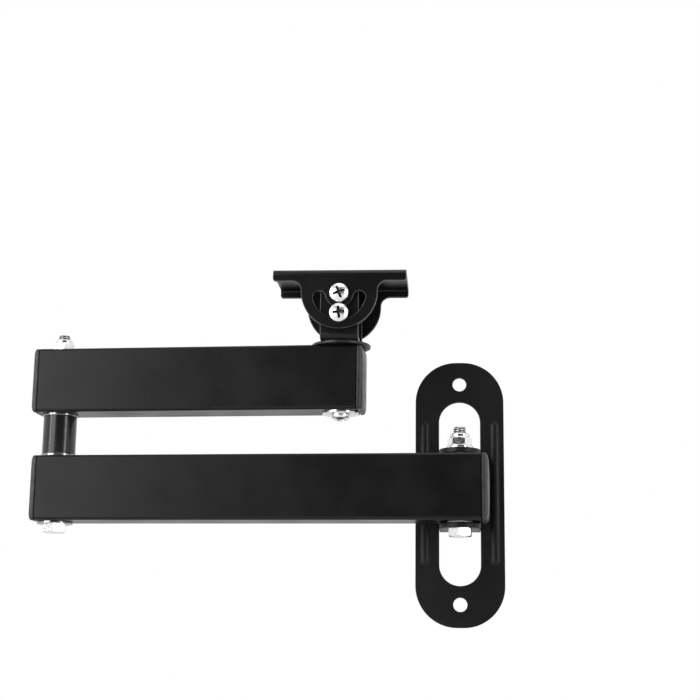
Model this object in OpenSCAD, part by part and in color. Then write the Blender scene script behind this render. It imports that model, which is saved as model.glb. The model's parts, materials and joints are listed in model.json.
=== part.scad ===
// Swing-arm wall bracket that carries a small projector: a wall plate, two
// folding rectangular-tube arms and a swivel and tilt head. Millimetres.
// The origin is the middle of the wall plate's back face, +X right, +Y into
// the wall, +Z up. The arms are drawn folded flat to the left.

/* [Wall plate] */
// Width of the wall plate
plate_w = 42.2; // [38:0.2:60]
// Height of the wall plate
plate_h = 126.4; // [116:0.2:180]
// Length of the short flat in the middle of each round end
plate_end_flat = 3.2; // [0.2:0.2:8]
// Thickness of the plate's sheet
plate_t = 2.5; // [1.5:0.5:4]
// Distance from an end of the plate to the middle of its wall screw hole
wall_hole_inset = 10.7; // [7:0.1:12.5]
// Diameter of a wall screw hole
wall_hole_d = 6.6; // [4:0.1:9]
// Width of the two windows that the ears are folded out of
window_w = 19.6; // [18:0.2:24]
// Distance from an end of the plate to the window beside it
window_inset = 19.4; // [17.4:0.2:20.8]
// Width of a folded ear
ear_w = 19.2; // [16:0.2:20]
// How far an ear's tip reaches past the pivot bolt's axis
ear_tip = 6.6; // [5:0.2:8]
// Distance from the plate's front face to the pivot bolt's axis
pivot_out = 21.5; // [21:0.5:40]
// How far the ears sit below the plate's middle
ear_drop = 0.4; // [0:0.1:1]
// Distance from a side of the plate to the middle of the bead beside it
bead_inset = 4.4; // [4:0.2:4.8]
// Width of a pressed stiffening bead
bead_w = 4.6; // [3:0.2:5]
// Height of a bead above the plate's front face
bead_h = 1.1; // [0.6:0.1:1.5]
// Length of a bead
bead_l = 69; // [40:1:76]

/* [Arms] */
// Depth of the arm tube, front to back
tube_d = 20; // [18:1:24]
// Height of the arm tube
tube_h = 30.8; // [26:0.2:34]
// Wall thickness of the arm tube
tube_wall = 1.5; // [1:0.1:2]
// Outside corner radius of the arm tube
tube_r = 1.6; // [1.6:0.1:3]
// Lower arm, from the wall axis to the elbow axis
lower_len = 192.2; // [150:0.2:260]
// Upper arm, from the elbow axis to the head axis
upper_len = 136.1; // [90:0.1:140]
// Angle by which the folded arms lean towards and away from the wall
fold_back = 3; // [0:0.5:3]
// Lower arm's tube end beyond the wall axis
lower_end_wall = 10; // [8:0.2:11]
// Lower arm's tube end beyond the elbow axis
lower_end_elbow = 7.2; // [7:0.2:11]
// Upper arm's tube end beyond the elbow axis
upper_end_elbow = 8.7; // [8:0.1:11]
// Upper arm's tube end beyond the head axis
upper_end_head = 8.2; // [8:0.2:11]
// Outside diameter of the sleeve across the tube at each pivot
sleeve_d = 10; // [9:0.5:12]
// How far an end cap's crown stands out of the tube
cap_out = 3.2; // [2:0.2:4]
// Length of an end cap's straight rim
cap_rim = 1.4; // [1:0.1:1.8]
// How far an end cap's rounded edge leans in
cap_inset = 2.4; // [1:0.2:4]
// Length of an end cap's gripping blades inside the tube
cap_blade = 9; // [5:0.5:12]
// Thickness of the gripping blades
cap_blade_t = 1.2; // [0.8:0.2:2]
// Diameter of the spacer between the arms
spacer_d = 15.8; // [12:0.2:16.4]
// Length of the spacer between the arms
spacer_l = 18.3; // [14:0.1:40]

/* [Head] */
// Diameter of the disc under the swivel bracket
disc_d = 28; // [20:1:30]
// Thickness of the disc
disc_t = 1.3; // [1:0.1:3]
// Thickness of the brackets' sheet
head_t = 2; // [1.5:0.1:2.4]
// Width of the swivel bracket
swivel_w = 18; // [16:0.1:20]
// Height of the tilt axis above the disc
tilt_rise = 21.5; // [21.4:0.1:30]
// Depth of the tilt bracket over its two ears
head_depth = 34.5; // [33:0.5:35]
// Width of the tilt bracket's platform
platform_w = 62.8; // [60:0.2:64]
// Height of the platform's top face above the tilt axis
platform_rise = 11.8; // [11.4:0.1:14]
// Height of the platform's folded bands
band_h = 5.8; // [4.4:0.1:6.2]
// Corner radius of the bands' lower corners
band_r = 1.4; // [0.6:0.2:2]
// Radius of a tilt ear
tilt_ear_r = 18; // [17:0.1:19]
// How far the middle of a tilt ear's round lies above the tilt axis
tilt_ear_lift = 1; // [0:0.1:1.2]
// Fillet between a tilt ear and its band
tilt_fillet = 4.4; // [2:0.2:5]
// Distance from the tilt axis to the locking screw
lock_r = 9.6; // [9.5:0.1:10.4]
// Half the angle that the curved slot sweeps
slot_sweep = 79; // [60:1:82]
// Furthest tilt to either side
tilt_max = 52; // [20:1:52]
// Diameter of the middle hole for a camera thread screw
camera_hole_d = 6.6; // [6.6:0.1:8]
// Diameter of the two small screw holes in the platform
small_hole_d = 4.4; // [3:0.1:5]
// Distance between the two small screw holes
small_hole_spacing = 28; // [26:1:32]

/* [Fasteners] */
// Diameter of the wall and elbow bolts
bolt_d = 6; // [5:0.5:6]
// Width of the bolts' heads and nuts across the flats
bolt_af = 10; // [9:0.5:11]
// Height of a hexagon head
bolt_head_h = 4; // [3:0.1:5]
// Height of a locking nut
nut_h = 5.8; // [5:0.1:7]
// Length of the wall bolt that shows above its nut
wall_tail = 3; // [1:0.1:5]
// Length of the elbow bolt that shows above its nut
elbow_tail = 2.2; // [1:0.1:5]
// Thickness of the flat washers
washer_t = 1.2; // [0.8:0.1:1.6]
// Diameter of the flat washers at the elbow
elbow_washer_d = 16.8; // [14:0.2:18]
// Diameter of the washer under the wall nut
wall_washer_d = 12; // [11:0.5:14]
// Thickness of the plastic bushes beside the lower arm
bush_t = 0.5; // [0.5:0.1:1.5]
// Diameter of the plastic bushes
bush_d = 12; // [11:0.5:18]
// Diameter of the head's screws
screw_d = 5; // [4:0.5:5]
// Diameter of a pan head
pan_d = 9.4; // [8:0.1:9.4]
// Height of a pan head
pan_h = 3.3; // [2.6:0.1:3.4]
// Diameter of the washer under the head screw
head_washer_d = 17.2; // [14:0.2:18]
// Span of a cross recess from tip to tip
recess_span = 4.9; // [4:0.1:5.4]
// Width of a cross recess's wings
recess_w = 1.2; // [0.8:0.1:1.6]
// Depth of a cross recess
recess_depth = 1.9; // [1:0.1:2]
// Height of a head screw's nut
small_nut_h = 4; // [3:0.1:5]
// Length of screw that shows beyond a head nut
screw_tail = 1; // [0.4:0.2:2]
// Width of the head nuts across the flats
small_nut_af = 8; // [7:0.5:8.5]

/* [Fits] */
// Gap around a bolt where a part turns on it
run_gap = 0.08; // [0.04:0.01:0.1]
// Gap around a bolt in a plain hole
hole_gap = 0.2; // [0.1:0.05:0.4]
// Gap between a tilt ear and the swivel bracket inside it
ear_gap = 0.1; // [0.05:0.05:0.3]
// Gap beside the locking screw in a curved slot
slot_gap = 0.4; // [0.1:0.05:0.5]
// Gap between an end cap's blades and the tube
cap_gap = 0.1; // [0.05:0.05:0.3]
// Gap between the swivel bracket's ears and the platform that turns over them
tilt_gap = 0.2; // [0.1:0.1:0.4]

/* [Hidden] */
$fn = 64;

// Colours as the photograph shows them
black_paint = [0.07, 0.07, 0.08];
black_plastic = [0.12, 0.12, 0.13];
bright_zinc = [0.82, 0.83, 0.85];
white_nylon = [0.86, 0.86, 0.82];

// Small overlap that lets a cut pass through a face
cut = 0.5;

// Distances of the plate's holes and windows from its middle
wall_hole_z = plate_h / 2 - wall_hole_inset;
window_reach = plate_h / 2 - window_inset;

// Heights, from the wall plate's middle upwards
lower_mid = -ear_drop;
lower_bottom = lower_mid - tube_h / 2;
lower_top = lower_mid + tube_h / 2;
ear_top_under = lower_top + bush_t;
ear_bottom_over = lower_bottom - bush_t;
upper_bottom = lower_top + 2 * washer_t + spacer_l;
upper_top = upper_bottom + tube_h;
disc_top = upper_top + disc_t;
tilt_z = disc_top + tilt_rise;

// The three upright axes, seen from above
wall_axis = [0, -(plate_t + pivot_out)];
elbow_axis = wall_axis + lower_len * [-cos(fold_back), sin(fold_back)];
head_axis = elbow_axis + upper_len * [cos(fold_back), -sin(fold_back)];

// Inner radii of the folds and the faces that they leave
fold_r = 1;
outer_fold_r = fold_r + head_t;
outer_face = head_depth / 2;
inner_face = outer_face - head_t - ear_gap;
platform_under = platform_rise - head_t;
swivel_top_r = platform_under - fold_r - tilt_gap;

// How much wider than the curved slot its round ends are drilled
slot_end_ease = 0.03;

// Shares of a hexagon's width: height of the turned corners, width they leave
corner_turn = 0.1;
corner_left = 0.94;

// Shares of a bolt's diameter: height of its end cone, width it leaves
bolt_cone = 0.1;
bolt_cone_left = 0.8;

// Shares of a locking nut: hexagon's height, collar's height and width, and
// the width that the collar's rolled edge leaves
nut_hexagon = 0.72;
nut_collar_h = 0.9;
nut_collar_d = 0.9;
nut_collar_left = 0.76;

// Radius of a pan head's crown, against a dome of the head's full height
crown_ease = 1.12;

// Steps and slices of an end cap's rounded edge, and facets of its corners
cap_steps = 5;
cap_slice = 0.02;
cap_facets = 24;

// Share of the tube's inside height that a gripping blade fills
blade_share = 0.8;

// Puts a piece of an arm at an axis, with +X along the arm
module at_arm(axis) {
  translate([axis[0], axis[1], 0])
    rotate([0, 0, -fold_back])
      children();
}

// Puts a piece of the head at the head's axis
module at_head(z = 0) {
  translate([head_axis[0], head_axis[1], z])
    children();
}

// A rectangle with round corners, centred
module round_rect(w, h, r) {
  square([w - 2 * r, h], center = true);
  square([w, h - 2 * r], center = true);
  for (x = [-1, 1], y = [-1, 1])
    translate([x * (w / 2 - r), y * (h / 2 - r)])
      circle(r);
}

// A flat ring, standing on z = 0
module ring(outer_d, inner_d, t) {
  difference() {
    cylinder(d = outer_d, h = t);
    translate([0, 0, -cut])
      cylinder(d = inner_d, h = t + 2 * cut);
  }
}

// A hexagon whose corners are turned off at the end away from z = 0
module hexagon(af, h) {
  across_corners = af / cos(30);
  turned_h = corner_turn * af;
  intersection() {
    cylinder(d = across_corners, h = h, $fn = 6);
    union() {
      cylinder(d = across_corners + cut, h = h - turned_h);
      translate([0, 0, h - turned_h])
        cylinder(d1 = across_corners + cut / 10, d2 = corner_left * af, h = turned_h);
    }
  }
}

// A hexagon bolt: head below z = 0, shank upwards
module hex_bolt(length) {
  cone_h = bolt_cone * bolt_d;
  mirror([0, 0, 1])
    hexagon(bolt_af, bolt_head_h);
  cylinder(d = bolt_d, h = length - cone_h);
  translate([0, 0, length - cone_h])
    cylinder(d1 = bolt_d, d2 = bolt_cone_left * bolt_d, h = cone_h);
}

// A self-locking nut: a hexagon with a round collar on top
module collar_nut(af, h, d) {
  difference() {
    union() {
      hexagon(af, nut_hexagon * h);
      cylinder(d = nut_collar_d * af, h = nut_collar_h * h);
      translate([0, 0, nut_collar_h * h])
        cylinder(d1 = nut_collar_d * af, d2 = nut_collar_left * af, h = (1 - nut_collar_h) * h);
    }
    translate([0, 0, -cut])
      cylinder(d = d, h = h + 2 * cut);
  }
}

// Outline of a pan head, turned about Z to make the head
module pan_profile() {
  crown_r = crown_ease * (pan_d * pan_d / 4 + pan_h * pan_h) / (2 * pan_h);
  intersection() {
    translate([0, pan_h - crown_r])
      circle(crown_r);
    square([pan_d / 2, pan_h]);
  }
}

// A cross-recess pan head screw: head above z = 0, shank downwards
module pan_screw(length) {
  difference() {
    rotate_extrude()
      pan_profile();
    for (turn = [0, 90])
      rotate([0, 0, turn])
        translate([-recess_span / 2, -recess_w / 2, pan_h - recess_depth])
          cube([recess_span, recess_w, pan_h]);
  }
  translate([0, 0, -length])
    cylinder(d = screw_d, h = length);
}

// Outline of a wall plate window, from the fold to the round far end
module window_outline(near, far) {
  radius = window_w / 2;
  translate([-radius, near])
    square([window_w, far - radius - near]);
  translate([0, far - radius])
    circle(radius);
}

// The solid of one bead, grown by the same arc on either face
module bead(face_y) {
  arc_r = (bead_w * bead_w / 4 + bead_h * bead_h) / (2 * bead_h);
  half = bead_l / 2 - bead_w / 2;
  for (side = [-1, 1])
    translate([side * (plate_w / 2 - bead_inset), face_y - bead_h + arc_r, 0]) {
      translate([0, 0, -half])
        cylinder(r = arc_r, h = 2 * half);
      for (end = [-1, 1])
        translate([0, 0, end * half])
          sphere(arc_r);
    }
}

// One ear seen from above, from the plate's back face to its round tip
module ear_outline() {
  reach = plate_t + pivot_out + ear_tip;
  tip_r = ear_w / 2;
  translate([-tip_r, -(reach - tip_r)])
    square([ear_w, reach - tip_r]);
  translate([0, -(reach - tip_r)])
    circle(tip_r);
}

// One folded ear: a flat leg with its bend, lying on z = 0 and folding up
module ear() {
  outer_r = fold_r + plate_t;
  difference() {
    union() {
      difference() {
        linear_extrude(plate_t)
          ear_outline();
        translate([-plate_w, -outer_r, -cut])
          cube([2 * plate_w, 2 * outer_r, plate_t + 2 * cut]);
      }
      translate([-ear_w / 2, -outer_r, outer_r])
        intersection() {
          rotate([0, 90, 0])
            difference() {
              cylinder(r = outer_r, h = ear_w);
              translate([0, 0, -cut])
                cylinder(r = fold_r, h = ear_w + 2 * cut);
            }
          translate([0, 0, -outer_r])
            cube([ear_w, outer_r, outer_r]);
        }
    }
    translate([wall_axis[0], wall_axis[1], -cut])
      cylinder(d = bolt_d + 2 * hole_gap, h = plate_t + 2 * cut);
  }
}

module wall_plate() {
  fold_outer = fold_r + plate_t;
  ear_top_z = ear_top_under + plate_t;
  ear_bottom_z = ear_bottom_over - plate_t;
  color(black_paint)
    difference() {
      union() {
        rotate([90, 0, 0])
          linear_extrude(plate_t)
            difference() {
              round_rect(plate_w, plate_h, (plate_w - plate_end_flat) / 2);
              window_outline(ear_top_z - fold_outer, window_reach);
              mirror([0, 1])
                window_outline(-ear_bottom_z - fold_outer, window_reach);
              for (end = [-1, 1])
                translate([0, end * wall_hole_z])
                  circle(d = wall_hole_d);
            }
        intersection() {
          bead(-plate_t);
          translate([-plate_w / 2, -plate_t - bead_h - cut, -plate_h / 2])
            cube([plate_w, plate_t + bead_h + cut, plate_h]);
        }
        translate([0, 0, ear_bottom_z])
          ear();
        translate([0, 0, ear_top_z])
          mirror([0, 0, 1])
            ear();
      }
      bead(0);
    }
}

module wall_pivot_bolt() {
  head_z = ear_bottom_over - plate_t;
  nut_top = ear_top_under + plate_t + washer_t + nut_h;
  color(bright_zinc)
    translate([wall_axis[0], wall_axis[1], head_z])
      hex_bolt(nut_top + wall_tail - head_z);
}

module wall_pivot_washer() {
  color(bright_zinc)
    translate([wall_axis[0], wall_axis[1], ear_top_under + plate_t])
      ring(wall_washer_d, bolt_d + 2 * hole_gap, washer_t);
}

module wall_pivot_nut() {
  color(bright_zinc)
    translate([wall_axis[0], wall_axis[1], ear_top_under + plate_t + washer_t])
      collar_nut(bolt_af, nut_h, bolt_d);
}

module wall_bush_top() {
  color(white_nylon)
    translate([wall_axis[0], wall_axis[1], lower_top])
      ring(bush_d, bolt_d + 2 * hole_gap, bush_t);
}

module wall_bush_bottom() {
  color(white_nylon)
    translate([wall_axis[0], wall_axis[1], ear_bottom_over])
      ring(bush_d, bolt_d + 2 * hole_gap, bush_t);
}

// An arm's tube from x = -left to x = length + right, standing on z = 0
module arm_tube(length, left, right, pin_d) {
  color(black_paint)
    difference() {
      translate([-left, 0, tube_h / 2])
        rotate([90, 0, 90])
          linear_extrude(left + length + right)
            difference() {
              round_rect(tube_d, tube_h, tube_r);
              round_rect(tube_d - 2 * tube_wall, tube_h - 2 * tube_wall, tube_r / 2);
            }
      for (hole = [[0, bolt_d], [length, pin_d]])
        translate([hole[0], 0, -cut])
          cylinder(d = hole[1] + 2 * hole_gap, h = tube_h + 2 * cut);
    }
}

// The sleeve that a pivot bolt turns in, between the tube's walls
module arm_sleeve(pin_d) {
  color(bright_zinc)
    translate([0, 0, tube_wall])
      ring(sleeve_d, pin_d + 2 * run_gap, tube_h - 2 * tube_wall);
}

// An end cap: a crowned face outside the tube, and two blades that grip inside.
// The crown's inset grows along a quarter of an ellipse as it rises.
module arm_cap() {
  inner_w = tube_d - 2 * tube_wall - 2 * cap_gap;
  blade_h = blade_share * (tube_h - 2 * tube_wall - 2 * cap_gap);
  color(black_plastic)
    translate([0, 0, tube_h / 2])
      rotate([90, 0, 90]) {
        linear_extrude(cap_rim)
          round_rect(tube_d, tube_h, tube_r);
        hull()
          for (step = [0:cap_steps]) {
            angle = 90 * step / cap_steps;
            inset = cap_inset * (1 - cos(angle));
            rise = cap_rim + (cap_out - cap_rim) * sin(angle);
            translate([0, 0, rise - cap_slice])
              linear_extrude(cap_slice)
                round_rect(tube_d - 2 * inset, tube_h - 2 * inset, tube_r, $fn = cap_facets);
          }
        for (side = [-1, 1])
          translate([side * (inner_w - cap_blade_t) / 2 - cap_blade_t / 2, -blade_h / 2, -cap_blade])
            cube([cap_blade_t, blade_h, cap_blade]);
      }
}

module lower_arm_tube() {
  at_arm(elbow_axis)
    translate([0, 0, lower_bottom])
      arm_tube(lower_len, lower_end_elbow, lower_end_wall, bolt_d);
}

module lower_arm_sleeve_wall() {
  at_arm(wall_axis)
    translate([0, 0, lower_bottom])
      arm_sleeve(bolt_d);
}

module lower_arm_sleeve_elbow() {
  at_arm(elbow_axis)
    translate([0, 0, lower_bottom])
      arm_sleeve(bolt_d);
}

module lower_arm_cap_wall() {
  at_arm(wall_axis)
    translate([lower_end_wall, 0, lower_bottom])
      arm_cap();
}

module lower_arm_cap_elbow() {
  at_arm(elbow_axis)
    translate([-lower_end_elbow, 0, lower_bottom])
      mirror([1, 0, 0])
        arm_cap();
}

module elbow_bolt() {
  head_z = lower_bottom - washer_t;
  color(bright_zinc)
    translate([elbow_axis[0], elbow_axis[1], head_z])
      hex_bolt(upper_top + nut_h + elbow_tail - head_z);
}

// A washer on the elbow bolt at a height
module elbow_ring(z) {
  color(bright_zinc)
    translate([elbow_axis[0], elbow_axis[1], z])
      ring(elbow_washer_d, bolt_d + 2 * hole_gap, washer_t);
}

module elbow_bolt_washer() {
  elbow_ring(lower_bottom - washer_t);
}

module elbow_washer_lower() {
  elbow_ring(lower_top);
}

module elbow_washer_upper() {
  elbow_ring(upper_bottom - washer_t);
}

module elbow_spacer() {
  color(black_paint)
    translate([elbow_axis[0], elbow_axis[1], lower_top + washer_t])
      ring(spacer_d, bolt_d + 2 * hole_gap, spacer_l);
}

module elbow_nut() {
  color(bright_zinc)
    translate([elbow_axis[0], elbow_axis[1], upper_top])
      collar_nut(bolt_af, nut_h, bolt_d);
}

module upper_arm_tube() {
  at_arm(elbow_axis)
    translate([0, 0, upper_bottom])
      arm_tube(upper_len, upper_end_elbow, upper_end_head, screw_d);
}

module upper_arm_sleeve_elbow() {
  at_arm(elbow_axis)
    translate([0, 0, upper_bottom])
      arm_sleeve(bolt_d);
}

module upper_arm_sleeve_head() {
  at_arm(head_axis)
    translate([0, 0, upper_bottom])
      arm_sleeve(screw_d);
}

module upper_arm_cap_elbow() {
  at_arm(elbow_axis)
    translate([-upper_end_elbow, 0, upper_bottom])
      mirror([1, 0, 0])
        arm_cap();
}

module upper_arm_cap_head() {
  at_arm(head_axis)
    translate([upper_end_head, 0, upper_bottom])
      arm_cap();
}

module head_screw() {
  head_z = upper_bottom - washer_t;
  screw_top = disc_top + head_t + small_nut_h + screw_tail;
  color(bright_zinc)
    at_head(head_z)
      mirror([0, 0, 1])
        pan_screw(screw_top - head_z);
}

module head_screw_washer() {
  color(bright_zinc)
    at_head(upper_bottom - washer_t)
      ring(head_washer_d, screw_d + 2 * hole_gap, washer_t);
}

module head_nut() {
  color(bright_zinc)
    at_head(disc_top + head_t)
      collar_nut(small_nut_af, small_nut_h, screw_d);
}

module swivel_disc() {
  color(black_plastic)
    at_head(upper_top)
      ring(disc_d, screw_d + 2 * hole_gap, disc_t);
}

// Outline of a swivel ear above the base, kept clear of the platform at full tilt
module swivel_ear_outline() {
  half = swivel_w / 2;
  shoulder = (swivel_top_r - half * sin(tilt_max)) / cos(tilt_max);
  polygon([
    [-half, -tilt_rise], [half, -tilt_rise], [half, shoulder],
    [swivel_top_r * sin(tilt_max), swivel_top_r * cos(tilt_max)],
    [-swivel_top_r * sin(tilt_max), swivel_top_r * cos(tilt_max)],
    [-half, shoulder]
  ]);
  circle(swivel_top_r);
}

// The U-shaped sheet seen along X: base below, two legs up
module swivel_section() {
  leg_top = 2 * tilt_rise;
  difference() {
    union() {
      translate([-inner_face + outer_fold_r, 0])
        square([2 * (inner_face - outer_fold_r), outer_fold_r]);
      translate([-inner_face, outer_fold_r])
        square([2 * inner_face, leg_top]);
      for (side = [-1, 1])
        translate([side * (inner_face - outer_fold_r), outer_fold_r])
          circle(outer_fold_r);
    }
    translate([-inner_face + head_t, outer_fold_r])
      square([2 * (inner_face - head_t), leg_top + cut]);
    translate([-inner_face + outer_fold_r, head_t])
      square([2 * (inner_face - outer_fold_r), outer_fold_r]);
    for (side = [-1, 1])
      translate([side * (inner_face - outer_fold_r), outer_fold_r])
        circle(fold_r);
  }
}

module swivel_bracket() {
  color(black_paint)
    at_head(disc_top)
      difference() {
        intersection() {
          translate([-swivel_w / 2, 0, 0])
            rotate([90, 0, 90])
              linear_extrude(swivel_w)
                swivel_section();
          translate([0, inner_face + cut, tilt_rise])
            rotate([90, 0, 0])
              linear_extrude(2 * inner_face + 2 * cut)
                swivel_ear_outline();
        }
        translate([0, 0, -cut])
          cylinder(d = screw_d + 2 * run_gap, h = head_t + 2 * cut);
        translate([0, inner_face + cut, tilt_rise])
          rotate([90, 0, 0])
            cylinder(d = screw_d, h = 2 * inner_face + 2 * cut);
        translate([0, 0, tilt_rise - lock_r])
          rotate([90, 0, 0])
            cylinder(d = screw_d, h = inner_face + cut);
      }
}

// A screw through both ears on one side; side is -1 at the front, 1 at the rear
module ear_screw(side, rise) {
  grip = 2 * head_t + ear_gap + small_nut_h + screw_tail;
  color(bright_zinc)
    at_head(tilt_z + rise)
      rotate([0, 0, side > 0 ? 180 : 0])
        translate([0, -outer_face, 0])
          rotate([90, 0, 0])
            pan_screw(grip);
}

// Its nut, against the swivel ear's inside
module ear_nut(side, rise) {
  color(bright_zinc)
    at_head(tilt_z + rise)
      rotate([0, 0, side > 0 ? 180 : 0])
        translate([0, -(inner_face - head_t), 0])
          rotate([-90, 0, 0])
            collar_nut(small_nut_af, small_nut_h, screw_d);
}

module tilt_screw_front() {
  ear_screw(-1, 0);
}

module tilt_screw_rear() {
  ear_screw(1, 0);
}

module tilt_nut_front() {
  ear_nut(-1, 0);
}

module tilt_nut_rear() {
  ear_nut(1, 0);
}

module lock_screw() {
  ear_screw(-1, -lock_r);
}

module lock_nut() {
  ear_nut(-1, -lock_r);
}

// The tilt bracket seen along X, with the platform on top: a sheet folded down
// twice, with the tilt axis at the origin
module tilt_section() {
  inner = outer_face - head_t;
  round_z = platform_rise - outer_fold_r;
  difference() {
    union() {
      translate([-outer_face + outer_fold_r, round_z])
        square([2 * (outer_face - outer_fold_r), outer_fold_r]);
      translate([-outer_face, -tilt_ear_r - cut])
        square([2 * outer_face, tilt_ear_r + cut + round_z]);
      for (side = [-1, 1])
        translate([side * (outer_face - outer_fold_r), round_z])
          circle(outer_fold_r);
    }
    translate([-inner, -tilt_ear_r - 2 * cut])
      square([2 * inner, tilt_ear_r + 2 * cut + round_z]);
    translate([-inner + fold_r, round_z - cut])
      square([2 * (inner - fold_r), fold_r + cut]);
    for (side = [-1, 1])
      translate([side * (inner - fold_r), round_z])
        circle(fold_r);
  }
}

// The tilt bracket seen from the front: band, fillets and round ear
module tilt_outline() {
  band_bottom = platform_rise - band_h;
  translate([-platform_w / 2, band_bottom + band_r])
    square([platform_w, band_h - band_r]);
  translate([-platform_w / 2 + band_r, band_bottom])
    square([platform_w - 2 * band_r, band_h]);
  for (side = [-1, 1])
    translate([side * (platform_w / 2 - band_r), band_bottom + band_r])
      circle(band_r);
  translate([0, tilt_ear_lift])
    circle(tilt_ear_r);
  translate([-tilt_ear_r, tilt_ear_lift])
    square([2 * tilt_ear_r, platform_rise - tilt_ear_lift]);
  for (side = [-1, 1])
    translate([side * (tilt_ear_r + tilt_fillet), band_bottom - tilt_fillet])
      difference() {
        translate([-side * (tilt_fillet + cut) / 2, (tilt_fillet + cut) / 2])
          square(tilt_fillet + cut, center = true);
        circle(tilt_fillet);
      }
}

// The curved slot in the front ear for the locking screw, centred on the tilt axis
module slot_outline() {
  width = screw_d + 2 * slot_gap;
  reach = 2 * lock_r;
  intersection() {
    difference() {
      circle(lock_r + width / 2);
      circle(lock_r - width / 2);
    }
    polygon([
      [0, 0], [-reach * sin(slot_sweep), -reach * cos(slot_sweep)],
      [-reach, -reach], [0, -2 * reach], [reach, -reach],
      [reach * sin(slot_sweep), -reach * cos(slot_sweep)]
    ]);
  }
  for (side = [-1, 1])
    translate([side * lock_r * sin(slot_sweep), -lock_r * cos(slot_sweep)])
      circle(width / 2 + slot_end_ease);
}

module tilt_bracket() {
  through = head_depth + 2 * cut;
  color(black_paint)
    at_head(tilt_z)
      difference() {
        intersection() {
          translate([-platform_w / 2, 0, 0])
            rotate([90, 0, 90])
              linear_extrude(platform_w)
                tilt_section();
          translate([0, through / 2, 0])
            rotate([90, 0, 0])
              linear_extrude(through)
                tilt_outline();
        }
        translate([0, through / 2, 0])
          rotate([90, 0, 0])
            cylinder(d = screw_d + 2 * run_gap, h = through);
        rotate([90, 0, 0])
          linear_extrude(through / 2)
            slot_outline();
        translate([0, 0, platform_under - cut])
          cylinder(d = camera_hole_d, h = head_t + 2 * cut);
        for (side = [-1, 1])
          translate([side * small_hole_spacing / 2, 0, platform_under - cut])
            cylinder(d = small_hole_d, h = head_t + 2 * cut);
      }
}

wall_plate();
wall_pivot_bolt();
wall_pivot_washer();
wall_pivot_nut();
wall_bush_top();
wall_bush_bottom();
lower_arm_tube();
lower_arm_cap_wall();
lower_arm_cap_elbow();
lower_arm_sleeve_wall();
lower_arm_sleeve_elbow();
elbow_bolt();
elbow_bolt_washer();
elbow_washer_lower();
elbow_spacer();
elbow_washer_upper();
elbow_nut();
upper_arm_tube();
upper_arm_cap_elbow();
upper_arm_cap_head();
upper_arm_sleeve_elbow();
upper_arm_sleeve_head();
head_screw();
head_screw_washer();
head_nut();
swivel_disc();
swivel_bracket();
tilt_screw_front();
tilt_screw_rear();
tilt_nut_front();
tilt_nut_rear();
lock_screw();
lock_nut();
tilt_bracket();
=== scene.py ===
import json
import math

import bmesh
import bpy
import numpy as np
from bpy.props import FloatProperty, FloatVectorProperty, PointerProperty
from mathutils import Matrix, Vector


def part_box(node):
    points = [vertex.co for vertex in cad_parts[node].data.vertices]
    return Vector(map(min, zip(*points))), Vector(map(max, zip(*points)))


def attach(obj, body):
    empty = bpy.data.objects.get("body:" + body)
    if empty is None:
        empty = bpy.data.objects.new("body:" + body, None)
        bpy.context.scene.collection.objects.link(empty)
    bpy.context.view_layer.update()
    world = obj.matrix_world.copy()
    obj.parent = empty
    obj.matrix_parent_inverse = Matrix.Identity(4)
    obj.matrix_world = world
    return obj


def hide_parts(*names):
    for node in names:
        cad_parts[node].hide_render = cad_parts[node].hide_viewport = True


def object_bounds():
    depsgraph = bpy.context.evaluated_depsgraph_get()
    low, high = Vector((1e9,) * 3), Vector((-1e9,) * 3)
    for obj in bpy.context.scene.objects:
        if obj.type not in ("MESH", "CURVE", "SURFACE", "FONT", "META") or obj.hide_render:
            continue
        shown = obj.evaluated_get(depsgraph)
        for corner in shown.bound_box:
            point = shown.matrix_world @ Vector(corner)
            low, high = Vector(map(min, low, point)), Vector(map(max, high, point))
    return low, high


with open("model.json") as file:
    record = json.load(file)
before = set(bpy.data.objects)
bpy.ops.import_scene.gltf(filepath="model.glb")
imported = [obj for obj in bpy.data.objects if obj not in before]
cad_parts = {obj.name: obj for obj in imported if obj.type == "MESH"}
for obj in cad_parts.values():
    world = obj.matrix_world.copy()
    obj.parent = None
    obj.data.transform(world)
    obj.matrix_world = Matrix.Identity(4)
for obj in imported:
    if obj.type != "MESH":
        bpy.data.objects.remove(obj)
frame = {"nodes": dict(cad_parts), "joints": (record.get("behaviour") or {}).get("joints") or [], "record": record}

bl_info = {
    "name": "Swing-arm wall bracket",
    "version": (1, 0, 0),
    "blender": (4, 5, 0),
    "location": "View3D > Sidebar > Bracket",
    "description": "Finishes, bolts, nuts, screws and end caps of a folding wall bracket",
    "category": "Add Mesh",
}

CAD_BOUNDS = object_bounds()
UP = (0.0, 0.0, 1.0)
DOWN = (0.0, 0.0, -1.0)
FRONT = (0.0, -1.0, 0.0)
BACK = (0.0, 1.0, 0.0)

# Columns round every turned or six-sided piece. It divides by twelve, so
# that a column falls on each corner and each flat's middle.
TURN_COLUMNS = 96


def node_body(node):
    """Name of the body that a CAD node rides on."""
    bodies = frame["record"]["behaviour"]["bodies"]
    return next(body for body, nodes in bodies.items() if node in nodes)


def node_box(node):
    """Centre and size of a CAD node at rest, as numpy arrays in metres."""
    low, high = (np.array(corner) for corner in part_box(node))
    return (low + high) / 2, high - low


def joint_place(joint):
    """A point on a joint's axis."""
    return np.array(next(j["pos_m"] for j in frame["joints"] if j["name"] == joint))


# Settings

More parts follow.
